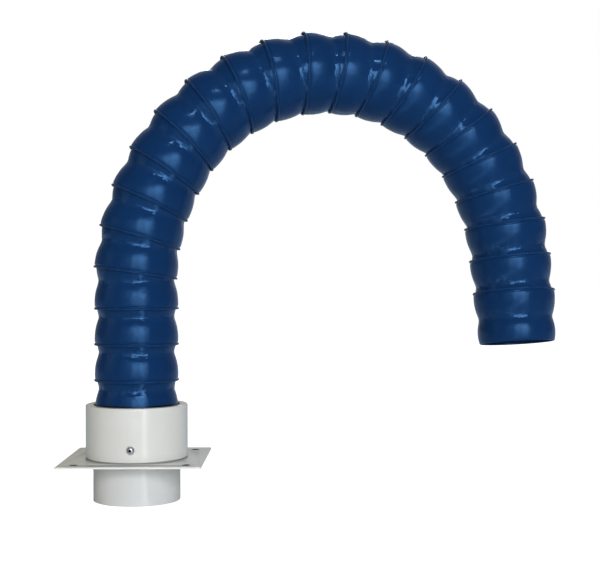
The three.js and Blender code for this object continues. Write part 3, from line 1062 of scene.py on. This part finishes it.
def paleRoom():
    # the camera sees white, reflections a dimmer backdrop, and the rest is soft light
    world = bpy.data.worlds.new("paleRoom")
    scene.world = world
    world.use_nodes = True
    tree = world.node_tree
    tree.nodes.clear()
    path = addNode(tree, "ShaderNodeLightPath").outputs
    way = addNode(tree, "ShaderNodeTexCoord").outputs["Generated"]
    ways = addNode(tree, "ShaderNodeSeparateXYZ", None, {0: way}).outputs
    across, depth, rise = ways[0], ways[1], ways[2]
    spreads = {}
    for name, along in (("levelAcross", across), ("toneAcross", across), ("coolAcross", across),
                        ("backLight", depth), ("frontLight", depth), ("backdrop", depth),
                        ("backdropDepth", depth), ("backdropTop", rise)):
        spreads[name] = addNode(tree, "ShaderNodeMapRange", None, {0: along, **spread(room[name])})
    tones = {}
    for name, share in (("tones", "toneAcross"), ("sideTones", "coolAcross"),
                        ("backdropTones", "coolAcross")):
        first, second = room[name]
        tones[name] = addNode(tree, "ShaderNodeMix", colours,
                              {0: spreads[share], 6: linear(first), 7: linear(second)})

    ends = addNode(tree, "ShaderNodeMath", plus, {0: spreads["backLight"], 1: spreads["frontLight"]})
    lit = addNode(tree, "ShaderNodeMath", plus, {0: spreads["levelAcross"], 1: ends})
    light = addNode(tree, "ShaderNodeBackground", None, {"Color": tones["tones"], "Strength": lit})
    shine = addNode(tree, "ShaderNodeMix", colours,
                    {0: spreads["backdropDepth"], 6: tones["sideTones"], 7: tones["backdropTones"]})
    glossy = addNode(tree, "ShaderNodeMath", times,  # the backdrop is lit from above
                     {0: spreads["backdrop"], 1: spreads["backdropTop"]})
    dim = addNode(tree, "ShaderNodeBackground", None, {"Color": shine, "Strength": glossy})
    white = addNode(tree, "ShaderNodeBackground", None, {"Color": linear("#ffffff"), "Strength": 1.0})
    unseen = addNode(tree, "ShaderNodeMixShader", None, {0: path["Is Glossy Ray"], 1: light, 2: dim})
    shown = addNode(tree, "ShaderNodeMixShader", None, {0: cameraSees(tree, path), 1: unseen, 2: white})
    addNode(tree, "ShaderNodeOutputWorld", None, {"Surface": shown})


lamps = [  # azimuth to the camera's right, height angle, distance, width and height, brightness, colour
    {"name": "ceilingLamp", "azimuth": 6, "rise": 53, "distance": 3.0,
     "size": (0.55, 0.3), "level": 15.0, "colour": "#ffffff"},
    {"name": "warmFill", "azimuth": -75, "rise": 12, "distance": 3.0,
     "size": (1.5, 1.5), "level": 0.35, "colour": "#ffe2b4"},
    {"name": "backLamp", "azimuth": 180, "rise": 25, "distance": 4.0,
     "size": (1.3, 0.6), "level": 6.0, "colour": "#f6f9ff"},
]

window = {  # panes side by side, dim ones at the left, each in three lights from the sill up
    "distance": 4.0,
    "colour": "#f6f9ff",
    "panes": (("Corner", -31, 1.0, 0.05), ("Wall", -17, 1.0, 0.11), ("Left", 0.0, 1.25, 0.58),
              ("Middle", 18.7, 1.12, 0.80), ("Right", 30.6, 0.42, 0.5)),
    "rows": (("Sill", 0.3, 0.65, 5.8), ("Low", 8.6, 0.52, 8.4), ("High", 18, 0.8, 12.0)),
}
for pane, azimuth, width, share in window["panes"]:
    for row, rise, height, level in window["rows"]:
        lamps.append({"name": "pane" + pane + row, "azimuth": azimuth, "rise": rise,
                      "distance": window["distance"], "size": (width, height),
                      "level": level * share, "colour": window["colour"]})


def addLamps():
    aim = (cadBox[0] + cadBox[1]) / 2
    for lamp in lamps:
        width, height = lamp["size"]
        light = bpy.data.lights.new(lamp["name"], "AREA")
        light.shape = "RECTANGLE"
        light.size = width
        light.size_y = height
        light.energy = lamp["level"] * math.pi * width * height  # so that level is its brightness
        light.color = linear(lamp["colour"])[:3]
        a, e = math.radians(lamp["azimuth"]), math.radians(lamp["rise"])
        out = Vector((math.sin(a) * math.cos(e), -math.cos(a) * math.cos(e), math.sin(e)))
        obj = link(bpy.data.objects.new(lamp["name"], light))
        obj.location = aim + out * lamp["distance"]
        obj.rotation_euler = out.to_track_quat("Z", "Y").to_euler()
        obj.visible_camera = False


camera = {  # fitted to the photo's plate, collar and segment lips; angles in degrees
    "place": (0.1909, -1.4415, 0.2114),
    "yaw": -0.107,
    "pitch": -0.287,
    "roll": -0.13,
    "focalPixels": 1252.5,
    "imageWidth": 600,
    "sensorWidth": 36.0,
}


def addCamera():
    lens = bpy.data.cameras.new("photoCamera")
    lens.sensor_width = camera["sensorWidth"]
    lens.lens = camera["focalPixels"] / camera["imageWidth"] * camera["sensorWidth"]
    obj = link(bpy.data.objects.new("photoCamera", lens))
    level = Matrix.Rotation(math.radians(90 + camera["pitch"]), 4, "X")
    turn = Matrix.Rotation(math.radians(-camera["yaw"]), 4, "Z")
    tilt = Matrix.Rotation(math.radians(camera["roll"]), 4, "Z")
    obj.matrix_world = Matrix.Translation(camera["place"]) @ turn @ level @ tilt
    scene.camera = obj


paleFloor()
paleRoom()
addLamps()
addCamera()
print("stage set")
